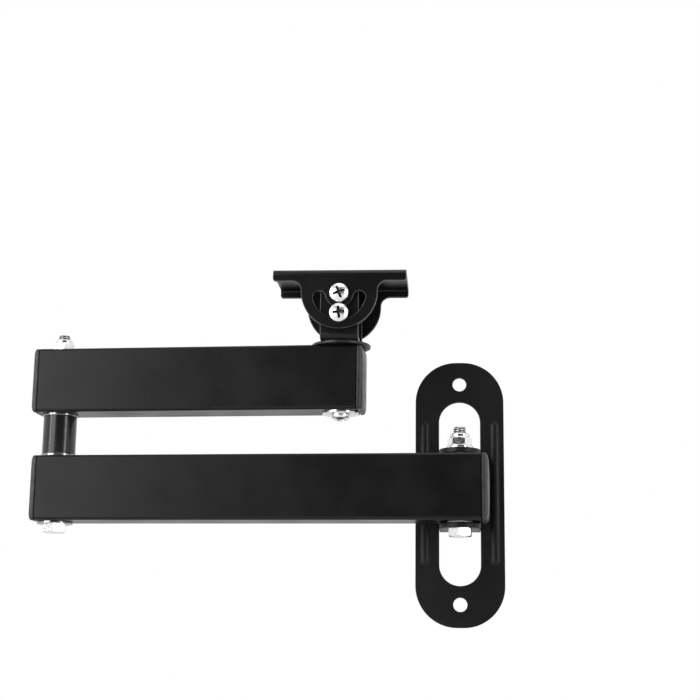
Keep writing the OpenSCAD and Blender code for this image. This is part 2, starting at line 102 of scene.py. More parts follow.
class FinishSettings(bpy.types.PropertyGroup):
    """Colours and surface qualities of the bracket's finishes."""

    paint: FloatVectorProperty(
        name="Satin paint", description="Black powder coat on tubes and sheet metal",
        subtype="COLOR", size=3, min=0.0, max=1.0, default=(0.0032, 0.0032, 0.0035))
    paint_dust: FloatVectorProperty(
        name="Paint bloom", description="Paler colour that the powder coat drifts to",
        subtype="COLOR", size=3, min=0.0, max=1.0, default=(0.0058, 0.0058, 0.0062))
    paint_roughness: FloatProperty(
        name="Paint roughness", description="Mean roughness of the powder coat",
        min=0.0, max=1.0, default=0.30)
    plate_roughness: FloatProperty(
        name="Plate roughness", description="Mean roughness of the wall plate's coat",
        min=0.0, max=1.0, default=0.40)
    # Painted highlight: a lighter grey painted on the bevelled sheet edges of the head, where they catch the light
    painted_edge_highlight: FloatVectorProperty(
        name="Painted edge highlight", description="Powder coat rubbed thin on the head's sheet edges",
        subtype="COLOR", size=3, min=0.0, max=1.0, default=(0.055, 0.055, 0.057))
    gloss: FloatVectorProperty(
        name="Gloss paint", description="Black gloss on the spacer",
        subtype="COLOR", size=3, min=0.0, max=1.0, default=(0.009, 0.009, 0.010))
    plastic: FloatVectorProperty(
        name="Black plastic", description="Moulded end caps",
        subtype="COLOR", size=3, min=0.0, max=1.0, default=(0.020, 0.020, 0.022))
    disc: FloatVectorProperty(
        name="Disc plastic", description="Turned disc under the head",
        subtype="COLOR", size=3, min=0.0, max=1.0, default=(0.008, 0.008, 0.009))
    zinc: FloatVectorProperty(
        name="Bright zinc", description="Plating on bolts, nuts, screws and washers",
        subtype="COLOR", size=3, min=0.0, max=1.0, default=(0.88, 0.885, 0.90))
    dull_zinc: FloatVectorProperty(
        name="Dull zinc", description="Plating gone grey on the elbow's washers",
        subtype="COLOR", size=3, min=0.0, max=1.0, default=(0.36, 0.36, 0.37))
    # Painted shade: a dark colour painted into threads and cross recesses, where shade falls
    painted_recess_shade: FloatVectorProperty(
        name="Painted recess shade", description="Dark film in threads and cross recesses",
        subtype="COLOR", size=3, min=0.0, max=1.0, default=(0.05, 0.05, 0.055))
    nylon: FloatVectorProperty(
        name="Nylon", description="Bushes and the rings in the locking nuts",
        subtype="COLOR", size=3, min=0.0, max=1.0, default=(0.78, 0.77, 0.72))
    edge_radius: FloatProperty(
        name="Edge radius", description="Rounding of punched edges under the paint",
        unit="LENGTH", min=0.0, default=0.00035)


class HardwareSettings(bpy.types.PropertyGroup):
    """Sizes of threads, heads and recesses that the solids leave plain."""

    bolt_pitch: FloatProperty(
        name="Bolt pitch", description="Thread pitch of the 6 mm bolts",
        unit="LENGTH", min=0.0005, default=0.001)
    screw_pitch: FloatProperty(
        name="Screw pitch", description="Thread pitch of the 5 mm screws",
        unit="LENGTH", min=0.0004, default=0.0008)
    thread_depth: FloatProperty(
        name="Thread depth", description="Depth of a thread as a share of its pitch",
        min=0.3, max=0.7, default=0.54)
    bolt_tail: FloatProperty(
        name="Bolt tail", description="Longest thread at the end of a bolt or screw",
        unit="LENGTH", min=0.003, default=0.0105)
    head_height: FloatProperty(
        name="Hexagon head height", description="Height of a bolt's hexagon head",
        unit="LENGTH", min=0.002, default=0.004)
    bolt_diameter: FloatProperty(
        name="Bolt diameter", description="Nominal diameter of the bolts",
        unit="LENGTH", min=0.003, default=0.006)
    screw_diameter: FloatProperty(
        name="Screw diameter", description="Nominal diameter of the head's screws",
        unit="LENGTH", min=0.003, default=0.005)
    pan_height: FloatProperty(
        name="Pan head height", description="Height of a pan head",
        unit="LENGTH", min=0.001, default=0.0033)
    recess_span: FloatProperty(
        name="Recess span", description="Cross recess from tip to tip",
        unit="LENGTH", min=0.002, default=0.0060)
    recess_width: FloatProperty(
        name="Recess width", description="Width of one wing of the cross recess",
        unit="LENGTH", min=0.0005, default=0.0015)
    recess_depth: FloatProperty(
        name="Recess depth", description="Depth of the cross recess at its middle",
        unit="LENGTH", min=0.0005, default=0.0024)
    washer_edge: FloatProperty(
        name="Washer edge", description="Rounding of a washer's edges",
        unit="LENGTH", min=0.0, default=0.00025)


class CapSettings(bpy.types.PropertyGroup):
    """Form of the moulded end caps."""

    seam: FloatProperty(
        name="Seam", description="Width and depth of the groove beside the tube's end",
        unit="LENGTH", min=0.0, default=0.0003)
    rim: FloatProperty(
        name="Rim", description="Length of the cap's straight rim",
        unit="LENGTH", min=0.0, default=0.0011)
    crown_inset: FloatProperty(
        name="Crown inset", description="How far the rounded edge leans in",
        unit="LENGTH", min=0.0, default=0.0026)
    pillow: FloatProperty(
        name="Pillow", description="Rise of the end face's middle over its edge",
        unit="LENGTH", min=0.0, default=0.0004)
    dent: FloatProperty(
        name="Gate dent", description="Depth of the moulding dents on the rim's sides",
        unit="LENGTH", min=0.0, default=0.00035)


class StudioSettings(bpy.types.PropertyGroup):
    """Camera, light and floor."""

    camera_place: FloatVectorProperty(
        name="Camera place", description="Where the camera stands",
        subtype="TRANSLATION", size=3, default=(-0.00279, -0.69844, -0.08088))
    camera_yaw: FloatProperty(
        name="Camera yaw", description="Turn of the view to the left",
        subtype="ANGLE", default=0.0723)
    camera_pitch: FloatProperty(
        name="Camera pitch", description="Lift of the view above level",
        subtype="ANGLE", default=0.2126)
    camera_roll: FloatProperty(
        name="Camera roll", description="Roll of the camera",
        subtype="ANGLE", default=0.0119)
    lens: FloatProperty(
        name="Lens", description="Focal length in millimetres on a 36 mm sensor",
        min=10.0, default=75.17)
    sky: FloatProperty(
        name="Ambient", description="Strength of the white surroundings' light",
        min=0.0, default=0.35)
    room: FloatProperty(
        name="Room", description="Mirrored brightness of the room in front of the bracket",
        min=0.0, max=1.0, default=0.06)
    softbox_power: FloatProperty(
        name="Softbox", description="Power of the soft light on the left in watts",
        min=0.0, default=6.8)
    strip_power: FloatProperty(
        name="Strip light", description="Power of each upright strip light in watts",
        min=0.0, default=6.0)
    top_power: FloatProperty(
        name="Top light", description="Power of the overhead light in watts",
        min=0.0, default=2.5)
    floor_drop: FloatProperty(
        name="Floor drop", description="How far the floor lies under the bracket",
        unit="LENGTH", min=0.0, default=0.21)


def finishes():
    """The scene's finish settings."""
    return bpy.context.scene.bracket_finishes


def hardware():
    """The scene's hardware settings."""
    return bpy.context.scene.bracket_hardware


# Surfaces as functions on a grid

# Distance between points along a bolt's head and a nut, and rows of points
# in one turn of a thread
HEAD_STEP = 0.0002
NUT_STEP = 0.00022
THREAD_ROWS = 14

# A thread's valley is the distance from its crest's middle, as a share of half
# a pitch, times the flank less the crest, so that both ends are a little flat.
THREAD_FLANK = 1.15
THREAD_CREST = 0.08
# Length of the cone at a thread's end, in pitches
THREAD_CONE = 0.9

# Radius of the ring of points on a rod's end, as a share of the end's
END_RING = 0.6

# Slope of a hexagon's corner chamfers
HEX_CHAMFER = math.radians(30)

# A bolt head's flat face, as a share of its width across flats
BOLT_FACE = 0.47
# Rounding of the face's edge, as a share of the face
BOLT_FACE_ROUND = 0.03
# Chamfer on the side of the shank, as a share of the one round the face
BOLT_UNDERSIDE = 0.15

# A nut's seat and collar, as shares of its width across flats
NUT_SEAT = 0.475
NUT_COLLAR = 0.45
# Heights of its hexagon and of its nylon ring's seat, and roundings of its
# collar at the foot, the top and the lip, as shares of its height
NUT_HEXAGON = 0.7
NUT_LIP = 0.84
NUT_FOOT_ROUND = 0.05
NUT_TOP_ROUND = 0.14
NUT_LIP_ROUND = 0.03
# Drop of the hexagon's upper corners, as a share of the lower chamfer
NUT_CORNER_DROP = 1.6
# The collar's opening at its top and at the ring, as shares of the collar
NUT_OPENING = 0.74
NUT_RING_SEAT = 0.72

# A ring's rounding inside, as a share of the one outside
RING_INSIDE = 0.6
# The most that its rounding takes of its thickness
RING_MOST = 0.45

# What a wing of a cross recess loses of its width and of its depth towards the
# tip, as shares of those in the middle
WING_TAPER = 0.25
WING_RISE = 0.55
# A wing's side walls as a share of its width, and its end wall as a share of
# its length
WING_WALL = 0.22
WING_END = 0.12

# A pan head's rim, as shares of its height and of its radius
PAN_RIM = 0.08
PAN_RIM_IN = 0.97
# Its shoulder, outwards as a share of its radius and upwards of its height
PAN_SHOULDER_OUT = 0.14
PAN_SHOULDER_UP = 0.52
# Least height of what lies inside the rim, as a share of its height
PAN_LOWEST = 0.1
# Longest thread under it, as a share of the shank
PAN_THREADED = 0.8

# Rows of points on a pan head's shoulder and dome
SHOULDER_ROWS = 14
DOME_ROWS = 60

# Gain of the painted shade, a darker colour where shade falls in a recess, over the share of its depth
RECESS_SHADE_GAIN = 1.6

# Rows of points on a cap's rim, its rounded edge and its face, and how far out
# those on its back lie, as shares of its outline
CAP_RIM_ROWS = 5
CAP_EDGE_ROWS = 12
CAP_FACE_ROWS = 9
CAP_BACK = (0.0, 0.5)

# A cap's seam midway, as shares of its depth and of its width, and how much
# rounder its corners get as they lean in, as a share of the inset
SEAM_MIDDLE = (0.25, 0.4)
CORNER_GROWTH = 0.5

# Half width and half length of the dent in a cap's rim
DENT_HALF_WIDTH = 0.0012
DENT_HALF_LENGTH = 0.0009


def turned(radii, heights):
    """Points of a surface turned about +Z: the point at row i and angle a is
    (r cos a, r sin a, z), where r and z are the grids' values there."""
    angles = np.arange(TURN_COLUMNS) * 2 * math.pi / TURN_COLUMNS
    radii = np.broadcast_to(radii, (len(radii), TURN_COLUMNS))
    heights = np.broadcast_to(heights, (len(heights), TURN_COLUMNS))
    return np.stack([radii * np.cos(angles), radii * np.sin(angles), heights], axis=-1)


def rounded_line(corners, radii, steps=5):
    """Points of an open line with its corners rounded: corner k becomes an arc
    of the k-th radius that touches both sides, or stays a point at radius 0."""
    corners = np.array(corners, float)
    points = [corners[:1]]
    for before, corner, after, radius in zip(corners, corners[1:], corners[2:], radii[1:]):
        if radius <= 0:
            points.append(corner[None])
            continue
        u = (before - corner) / np.linalg.norm(before - corner)
        v = (after - corner) / np.linalg.norm(after - corner)
        half = math.acos(np.clip(u @ v, -1, 1)) / 2
        middle = (u + v) / np.linalg.norm(u + v)
        centre = corner + middle * radius / math.sin(half)
        start, end = corner + u * radius / math.tan(half), corner + v * radius / math.tan(half)
        share = np.linspace(0, 1, steps + 1)[:, None]
        chord = start + (end - start) * share - centre
        points.append(centre + chord * radius / np.linalg.norm(chord, axis=1, keepdims=True))
    points.append(corners[-1:])
    return np.concatenate(points)


def hexagon_radius(across_flats):
    """Distance from a hexagon's centre to its side at each column's angle a:
    the apothem over cos(a), with a folded to within 30 degrees of a flat."""
    angles = np.arange(TURN_COLUMNS) * 2 * math.pi / TURN_COLUMNS
    folded = (angles + math.pi / 6) % (math.pi / 3) - math.pi / 6
    return across_flats / 2 / np.cos(folded)


def with_hexagon(profile, across_flats):
    """A turned profile cut by a hexagon: the radius is the smaller of both."""
    radii = np.minimum(profile[:, :1], hexagon_radius(across_flats)[None, :])
    return turned(radii, profile[:, 1:])


def thread_radii(heights, radius, pitch, fade_start, fade_end):
    """Radius of a helical thread at each height z and angle a: the crest radius
    less a rounded V of the phase z / pitch - a / 2 pi, faded out at one end and
    turned down to a cone at the other."""
    angles = np.arange(TURN_COLUMNS) / TURN_COLUMNS
    phase = (heights[:, None] / pitch - angles[None, :]) % 1.0
    wave = np.abs(2 * phase - 1)
    valley = np.clip(THREAD_FLANK * wave - THREAD_CREST, 0, 1)
    depth = pitch * hardware().thread_depth
    grown = np.clip((heights - fade_start) / pitch, 0, 1)[:, None]
    left = np.clip((fade_end - heights) / (THREAD_CONE * pitch), 0, 1)[:, None]
    cone = radius - depth * (1 - left)
    return np.minimum(radius - depth * valley * grown, cone)


def threaded_rod(length, radius, pitch, threaded):
    """Rows of radius and height for a rod from z = 0 up, whose last stretch is
    threaded, ends in a small cone and is closed by a flat face."""
    start = max(length - threaded, 0.0)
    rows = int(round((length - start) / pitch * THREAD_ROWS)) + 1
    heights = np.linspace(start, length, rows)
    radii = thread_radii(heights, radius, pitch, start, length)
    plain = np.full((1, TURN_COLUMNS), radius)
    closing = np.vstack([radii[-1:] * END_RING, radii[-1:] * 0.0])
    all_radii = np.vstack([plain, radii, closing])
    all_heights = np.concatenate([[0.0], heights, [length, length]])
    return all_radii, np.repeat(all_heights[:, None], TURN_COLUMNS, axis=1)


def hex_bolt_surface(across_flats, head_height, diameter, length, pitch, threaded):
    """A hexagon bolt, head below z = 0: a turned profile with chamfered corners
    cut by a hexagon, then the shank and its thread. The second result is each
    point's cavity share, which grows with the depth of the thread and sets how much shade is painted there."""
    corner = across_flats / 2 / math.cos(math.pi / 6)
    flat = across_flats * BOLT_FACE
    chamfer = (corner - flat) * math.tan(HEX_CHAMFER)
    underside = chamfer * BOLT_UNDERSIDE
    profile = rounded_line(
        [(0, -head_height), (flat, -head_height), (corner, -head_height + chamfer),
         (corner, -underside), (corner - underside, 0), (diameter / 2, 0)],
        [0, flat * BOLT_FACE_ROUND, 0, 0, 0, 0], steps=4)
    head = with_hexagon(densified(profile, HEAD_STEP), across_flats)
    radii, heights = threaded_rod(length, diameter / 2, pitch, threaded)
    cavity = thread_cavity(radii, diameter / 2, pitch)
    cavity = np.concatenate([np.zeros(head.shape[:2]), cavity])
    return np.concatenate([head, turned(radii, heights)]), cavity


def thread_cavity(radii, radius, pitch):
    """Depth of a thread as a share of its full depth, none on the rod's end. It sets the shade painted in the
    thread's valleys.
    """
    share = np.clip((radius - radii) / (pitch * hardware().thread_depth), 0, 1)
    share[-2:] = 0
    return share


def densified(profile, step):
    """The same open line with extra points, no further apart than step."""
    gaps = np.linalg.norm(np.diff(profile, axis=0), axis=1)
    counts = np.maximum(1, np.ceil(gaps / step).astype(int))
    pieces = [
        a + (b - a) * (np.arange(n) / n)[:, None]
        for a, b, n in zip(profile, profile[1:], counts)
    ]
    return np.concatenate(pieces + [profile[-1:]])


def lock_nut_surface(across_flats, height, diameter):
    """A locking nut on z = 0: a closed turned profile, cut by a hexagon below
    and drawn in to a rolled collar above. Its rows close on themselves."""
    corner = across_flats / 2 / math.cos(math.pi / 6)
    flat, collar = across_flats * NUT_SEAT, across_flats * NUT_COLLAR
    chamfer = (corner - flat) * math.tan(HEX_CHAMFER)
    bore, hexagon_top, lip = diameter / 2, height * NUT_HEXAGON, height * NUT_LIP
    roundings = [height * share for share in (NUT_FOOT_ROUND, NUT_TOP_ROUND, NUT_LIP_ROUND)]
    profile = rounded_line(
        [(bore, 0), (flat, 0), (corner, chamfer),
         (corner, hexagon_top - chamfer * NUT_CORNER_DROP), (collar, hexagon_top),
         (collar, height), (collar * NUT_OPENING, height), (collar * NUT_RING_SEAT, lip),
         (bore, lip), (bore, 0)],
        [0, 0, 0, 0, *roundings, 0, 0, 0], steps=5)
    return with_hexagon(densified(profile, NUT_STEP)[:-1], across_flats)


def ring_surface(outer, inner, low, high, edge):
    """A flat ring with rounded edges: a closed turned profile whose rows close
    on themselves."""
    edge = min(edge, (high - low) * RING_MOST)
    profile = rounded_line(
        [(inner, low), (outer, low), (outer, high), (inner, high), (inner, low)],
        [0, edge, edge, edge * RING_INSIDE, 0], steps=6)
    return turned(profile[:-1, :1], profile[:-1, 1:])


def recess_drop(radii, angles, span, width, depth):
    """Depth of a cross recess at polar points: a wing is deepest and widest in
    the middle, its floor rises in a line towards the tip, and its walls fall
    along a smooth step. The deeper of both wings counts."""
    x, y = radii * np.cos(angles), radii * np.sin(angles)
    drops = []
    for along, across in ((x, y), (y, x)):
        reach = np.clip(1 - np.abs(along) / (span / 2), 0, 1)
        half = width / 2 * (1 - WING_TAPER * (1 - reach))
        wall = np.clip((half - np.abs(across)) / (width * WING_WALL), 0, 1)
        tip = np.clip(reach / WING_END, 0, 1)
        floor = 1 - WING_RISE * (1 - reach)
        drops.append(wall * wall * (3 - 2 * wall) * tip * floor)
    return depth * np.maximum(*drops)


def pan_profile(radius, height, shank):
    """Rows of radius and height of a pan head without its recess, and how many
    of them are its rim: the underside and the rim, a shoulder along a quarter of
    an ellipse, and a dome that falls with the square of the radius."""
    rim = np.array([(shank / 2, 0), (radius * PAN_RIM_IN, 0), (radius, height * PAN_RIM)])
    rise = np.linspace(0, math.pi / 2, SHOULDER_ROWS)[1:]
    shoulder = radius * (1 - PAN_SHOULDER_OUT + PAN_SHOULDER_OUT * np.cos(rise))
    shoulder_heights = height * (PAN_RIM + PAN_SHOULDER_UP * np.sin(rise))
    share = np.linspace(1, 0, DOME_ROWS)[1:]
    foot = PAN_RIM + PAN_SHOULDER_UP
    dome_heights = height * (foot + (1 - foot) * (1 - share ** 2))
    return np.concatenate([
        rim,
        np.column_stack([shoulder, shoulder_heights]),
        np.column_stack([shoulder[-1] * share, dome_heights]),
    ]), len(rim)


def pan_screw_surface(diameter, height, shank, length, pitch):
    """A pan head screw, head above z = 0: the thread and the shank from the tip
    up to z = 0, then the turned head, less the cross recess. The second result
    is each point's cavity share, which sets how much shade is painted there."""
    settings = hardware()
    columns = 2 * TURN_COLUMNS
    angles = np.arange(columns) * 2 * math.pi / columns
    threaded = min(length * PAN_THREADED, settings.bolt_tail)
    rod_radii, rod_heights = threaded_rod(length, shank / 2, pitch, threaded)
    rod_cavity = thread_cavity(rod_radii, shank / 2, pitch)
    rod_radii, rod_heights, rod_cavity = (
        np.repeat(rows[::-1], 2, axis=1) for rows in (rod_radii, -rod_heights, rod_cavity))
    head, rim_rows = pan_profile(diameter / 2, height, shank)
    radii = np.broadcast_to(head[:, :1], (len(head), columns))
    drop = recess_drop(radii, angles, settings.recess_span,
                       settings.recess_width, settings.recess_depth)
    drop[:rim_rows] = 0
    # Painted shade: deeper parts of the cross recess get a darker colour
    painted_shade = np.clip(RECESS_SHADE_GAIN * drop / settings.recess_depth, 0, 1)
    lowest = height * PAN_LOWEST * (radii < diameter / 2)
    heights = np.concatenate([rod_heights, np.maximum(head[:, 1:] - drop, lowest)])
    radii = np.concatenate([rod_radii, radii])
    points = np.stack([radii * np.cos(angles), radii * np.sin(angles), heights], axis=-1)
    return points, np.concatenate([rod_cavity, painted_shade])


def rounded_rectangle(width, height, radius, per_corner=10, per_side=24):
    """Points round a rectangle with round corners, counter-clockwise from the
    upper end of the right side: each corner is a quarter of a circle, and each
    side runs on from it to the next one, both evenly divided."""
    half = np.array([width / 2 - radius, height / 2 - radius])
    centres = half * np.array([(1, 1), (-1, 1), (-1, -1), (1, -1)])
    turns = np.linspace(0, math.pi / 2, per_corner, endpoint=False)
    share = (np.arange(per_side) / per_side)[:, None]
    points = []
    for quarter, centre in enumerate(centres):
        angle = turns + quarter * math.pi / 2
        end = (quarter + 1) * math.pi / 2
        side_start = centre + radius * np.array([math.cos(end), math.sin(end)])
        way = centres[(quarter + 1) % 4] - centre
        points.append(centre + radius * np.stack([np.cos(angle), np.sin(angle)], axis=-1))
        points.append(side_start + way * share)
    return np.concatenate(points)


def cap_surface(depth, height, corner, stand_out):
    """An end cap along +Z from the tube's end: the tube's round outline, drawn
    in by a seam groove, then straight, then inset along a quarter of an
    ellipse, and closed by a face that rises to its middle. Its sides have a
    shallow dent, a bell curve of the distance from mid-height."""
    caps = bpy.context.scene.bracket_caps
    steps = np.linspace(0, math.pi / 2, CAP_EDGE_ROWS)
    edge = stand_out - caps.pillow
    seam_in, seam_up = (caps.seam * share for share in SEAM_MIDDLE)
    rows = [(caps.seam, 0.0), (seam_in, seam_up), (0.0, caps.seam)]
    rows += [(0.0, rise) for rise in np.linspace(caps.seam, caps.rim, CAP_RIM_ROWS)[1:]]
    rows += [
        (caps.crown_inset * (1 - math.cos(a)), caps.rim + (edge - caps.rim) * math.sin(a))
        for a in steps[1:]
    ]
    grid = []
    for inset, rise in rows:
        outline = rounded_rectangle(
            depth - 2 * inset, height - 2 * inset, corner + inset * CORNER_GROWTH)
        bell = np.exp(-(outline[:, 1] / DENT_HALF_WIDTH) ** 2)
        bell *= np.exp(-((rise - caps.rim) / DENT_HALF_LENGTH) ** 2)
        outline[:, 0] -= np.sign(outline[:, 0]) * caps.dent * bell
        grid.append(np.column_stack([outline, np.full(len(outline), rise)]))
    edge_points = grid[-1]
    for share in np.linspace(1, 0, CAP_FACE_ROWS)[1:]:
        face = edge_points * np.array([share, share, 1])
        face[:, 2] = edge + caps.pillow * (1 - share ** 2)
        grid.append(face)
    back = [grid[0] * np.array([share, share, 1]) for share in CAP_BACK]
    return np.array(back + grid)


def placed(points, origin, axis=UP, turn=0.0):
    """The points turned about their own +Z, then laid so that +Z runs along the
    axis by the shortest turn, which is one about X for straight down, then moved
    to the origin."""
    spin = Matrix.Rotation(turn, 3, "Z")
    lay = Vector(UP).rotation_difference(Vector(axis)).to_matrix()
    if axis == DOWN:
        lay = Matrix.Rotation(math.pi, 3, "X")
    return points @ np.array(lay @ spin).T + np.array(origin)


# Meshes

# Edges sharper than this stay sharp.
CREASE = math.radians(40)

# Points closer than the first are one, and faces smaller than the second go.
SAME_POINT = 1e-7
NO_SIZE = 1e-8


def grid_quads(rows, columns, close_rows):
    """Corner numbers of the quads of a grid whose columns close on themselves,
    and whose rows do too where close_rows is true. Faces point to the side
    where the rows run up as the columns run counter-clockwise."""
    row, column = np.meshgrid(
        np.arange(rows if close_rows else rows - 1), np.arange(columns), indexing="ij")
    next_row, next_column = (row + 1) % rows, (column + 1) % columns
    return np.stack([
        row * columns + column, row * columns + next_column,
        next_row * columns + next_column, next_row * columns + column,
    ], axis=-1).reshape(-1, 4)


def new_piece(name, grid, node, key, replaced=(), close_rows=False, cavity=None):
    """One object from a grid of points, at the origin, smooth apart from its
    sharp edges, with the finish of that key, riding on the node's body. A cavity
    array is kept on the points, for the material to paint shade in recesses and threads."""
    body, slot = node_body(node), SLOTS[key]
    quads = grid_quads(grid.shape[0], grid.shape[1], close_rows)
    mesh = bpy.data.meshes.new(name)
    mesh.from_pydata(grid.reshape(-1, 3).tolist(), [], quads.tolist())
    if cavity is not None:
        layer = mesh.attributes.new("cavity", "FLOAT", "POINT")
        layer.data.foreach_set("value", cavity.astype(np.float32).ravel())
    merge_poles(mesh)
    mesh.polygons.foreach_set("use_smooth", np.ones(len(mesh.polygons), bool))
    mesh.set_sharp_from_angle(angle=CREASE)
    mesh.materials.append(material(key))
    piece = bpy.data.objects.new(name, mesh)
    bpy.context.scene.collection.objects.link(piece)
    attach(piece, body)
    if replaced:
        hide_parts(*replaced)
    return piece


def merge_poles(mesh):
    """Closes the points that coincide at a surface's poles."""
    shape = bmesh.new()
    shape.from_mesh(mesh)
    bmesh.ops.remove_doubles(shape, verts=shape.verts, dist=SAME_POINT)
    bmesh.ops.dissolve_degenerate(shape, dist=NO_SIZE, edges=shape.edges)
    shape.to_mesh(mesh)
    shape.free()
    mesh.update()


# Materials

# Grain of each finish: layers of noise, as waves a metre, detail, height in
# metres and strength
ORANGE_PEEL = ((700, 2, 0.00006, 0.35), (2600, 1, 0.00002, 0.3))
RUBBED_GRAIN = ((900, 2, 0.00004, 0.3),)
TURNED_GRAIN = ((900, 2, 0.00002, 0.25),)
SPARK_GRAIN = ((4200, 2, 0.00003, 0.4),)
ZINC_GRAIN = ((2200, 2, 0.00002, 0.16),)
NYLON_GRAIN = ((2000, 2, 0.00003, 0.25),)

PAINT_SPECULAR = 0.26
PAINT_PATCHES = (-0.03, 0.05)


def empty_material(name):
    """A material with one shader, and its node tree's helpers."""
    material = bpy.data.materials.new(name)
    material.use_nodes = True
    tree = material.node_tree
    tree.nodes.clear()
    output = tree.nodes.new("ShaderNodeOutputMaterial")
    shader = tree.nodes.new("ShaderNodeBsdfPrincipled")
    tree.links.new(shader.outputs["BSDF"], output.inputs["Surface"])
    return material, tree, shader


def noise(tree, scale, detail, stretch=None):
    """Noise on Object coordinates, scale in waves a metre, stretched if asked."""
    place = tree.nodes.new("ShaderNodeTexCoord")
    texture = tree.nodes.new("ShaderNodeTexNoise")
    texture.inputs["Scale"].default_value = scale
    texture.inputs["Detail"].default_value = detail
    source = place.outputs["Object"]
    if stretch:
        mapping = tree.nodes.new("ShaderNodeMapping")
        mapping.inputs["Scale"].default_value = stretch
        tree.links.new(source, mapping.inputs["Vector"])
        source = mapping.outputs["Vector"]
    tree.links.new(source, texture.inputs["Vector"])
    return texture.outputs["Fac"]


def spread(tree, value, low, high, start=0.35, end=0.65):
    """The value from start to end, spread evenly over low to high. Most of a
    noise lies between the start and the end that are given here."""
    node = tree.nodes.new("ShaderNodeMapRange")
    node.inputs["From Min"].default_value = start
    node.inputs["From Max"].default_value = end
    node.inputs["To Min"].default_value = low
    node.inputs["To Max"].default_value = high
    tree.links.new(value, node.inputs["Value"])
    return node.outputs["Result"]


def blend_colours(tree, share, first, second):
    """Colour between two constant ones, by a share."""
    node = tree.nodes.new("ShaderNodeMix")
    node.data_type = "RGBA"
    node.inputs["A"].default_value = (*first, 1)
    node.inputs["B"].default_value = (*second, 1)
    tree.links.new(share, node.inputs["Factor"])
    return node.outputs["Result"]


def bump(tree, shader, layers, stretch=None):
    """Bump from layers of noise, one on another."""
    normal = None
    for scale, detail, distance, strength in layers:
        node = tree.nodes.new("ShaderNodeBump")
        node.inputs["Distance"].default_value = distance
        node.inputs["Strength"].default_value = strength
        tree.links.new(noise(tree, scale, detail, stretch), node.inputs["Height"])
        if normal:
            tree.links.new(normal, node.inputs["Normal"])
        normal = node.outputs["Normal"]
    tree.links.new(normal, shader.inputs["Normal"])


def patchy_colour(tree, first, second, scale, detail):
    """Colour that drifts between two, by noise."""
    return blend_colours(tree, spread(tree, noise(tree, scale, detail), 0, 1), first, second)


def patchy_roughness(tree, shader, low, high, scale, detail):
    """Roughness that drifts between two values, by noise."""
    roughness = spread(tree, noise(tree, scale, detail), low, high)
    tree.links.new(roughness, shader.inputs["Roughness"])


def shaded(colour, share):
    """A colour times a share, no channel over 1."""
    return [min(1.0, channel * share) for channel in colour]


def satin_paint():
    """Black powder coat on the tubes and the head."""
    return powder_coat("satin_black_powder_coat", finishes().paint_roughness)


def plate_paint():
    """The same powder coat, duller on the wall plate."""
    return powder_coat("dull_black_powder_coat", finishes().plate_roughness)


def powder_coat(name, mean):
    """Black powder coat: drifting tone, patchy gloss and orange peel."""
    settings = finishes()
    material, tree, shader = empty_material(name)
    colour = patchy_colour(tree, settings.paint, settings.paint_dust, scale=28, detail=4)
    tree.links.new(colour, shader.inputs["Base Color"])
    low, high = (mean + patch for patch in PAINT_PATCHES)
    patchy_roughness(tree, shader, low, high, scale=45, detail=5)
    shader.inputs["Specular IOR Level"].default_value = PAINT_SPECULAR
    bump(tree, shader, ORANGE_PEEL)
    return material


def painted_edge_highlight_paint():
    """The same powder coat, painted a lighter grey on the rounded edges as a painted highlight."""
    settings = finishes()
    material, tree, shader = empty_material("rubbed_powder_coat_edge")
    # Painted highlight: the colour drifts from the coat's pale tone to a lighter grey that stands for light caught
    # on the edges
    colour = patchy_colour(tree, settings.paint_dust, settings.painted_edge_highlight, scale=160, detail=4)
    tree.links.new(colour, shader.inputs["Base Color"])
    patchy_roughness(tree, shader, low=0.22, high=0.36, scale=220, detail=3)
    bump(tree, shader, RUBBED_GRAIN)
    return material


def gloss_paint():
    """Smooth black gloss with a faint turned grain."""
    material, tree, shader = empty_material("gloss_black_paint")
    shader.inputs["Base Color"].default_value = (*finishes().gloss, 1)
    patchy_roughness(tree, shader, low=0.16, high=0.26, scale=60, detail=3)
    bump(tree, shader, TURNED_GRAIN, stretch=(1, 1, 0.2))
    return material


def cap_plastic():
    """Black plastic of the end caps."""
    return moulded_plastic("moulded_black_plastic", finishes().plastic)


def disc_plastic():
    """Deeper black plastic of the disc under the head."""
    return moulded_plastic("deep_black_plastic", finishes().disc)


def moulded_plastic(name, tint):
    """Moulded plastic with a fine spark-eroded texture."""
    material, tree, shader = empty_material(name)
    colour = patchy_colour(tree, tint, shaded(tint, 1.5), scale=60, detail=4)
    tree.links.new(colour, shader.inputs["Base Color"])
    patchy_roughness(tree, shader, low=0.34, high=0.5, scale=300, detail=3)
    bump(tree, shader, SPARK_GRAIN)
    return material


def bright_zinc():
    """Bright zinc plate on bolts, nuts and screws."""
    return zinc_plate("bright_zinc_plate", finishes().zinc)


def dull_zinc():
    """Zinc plate that has gone grey, on the washers of the elbow."""
    return zinc_plate("dull_zinc_plate", finishes().dull_zinc)


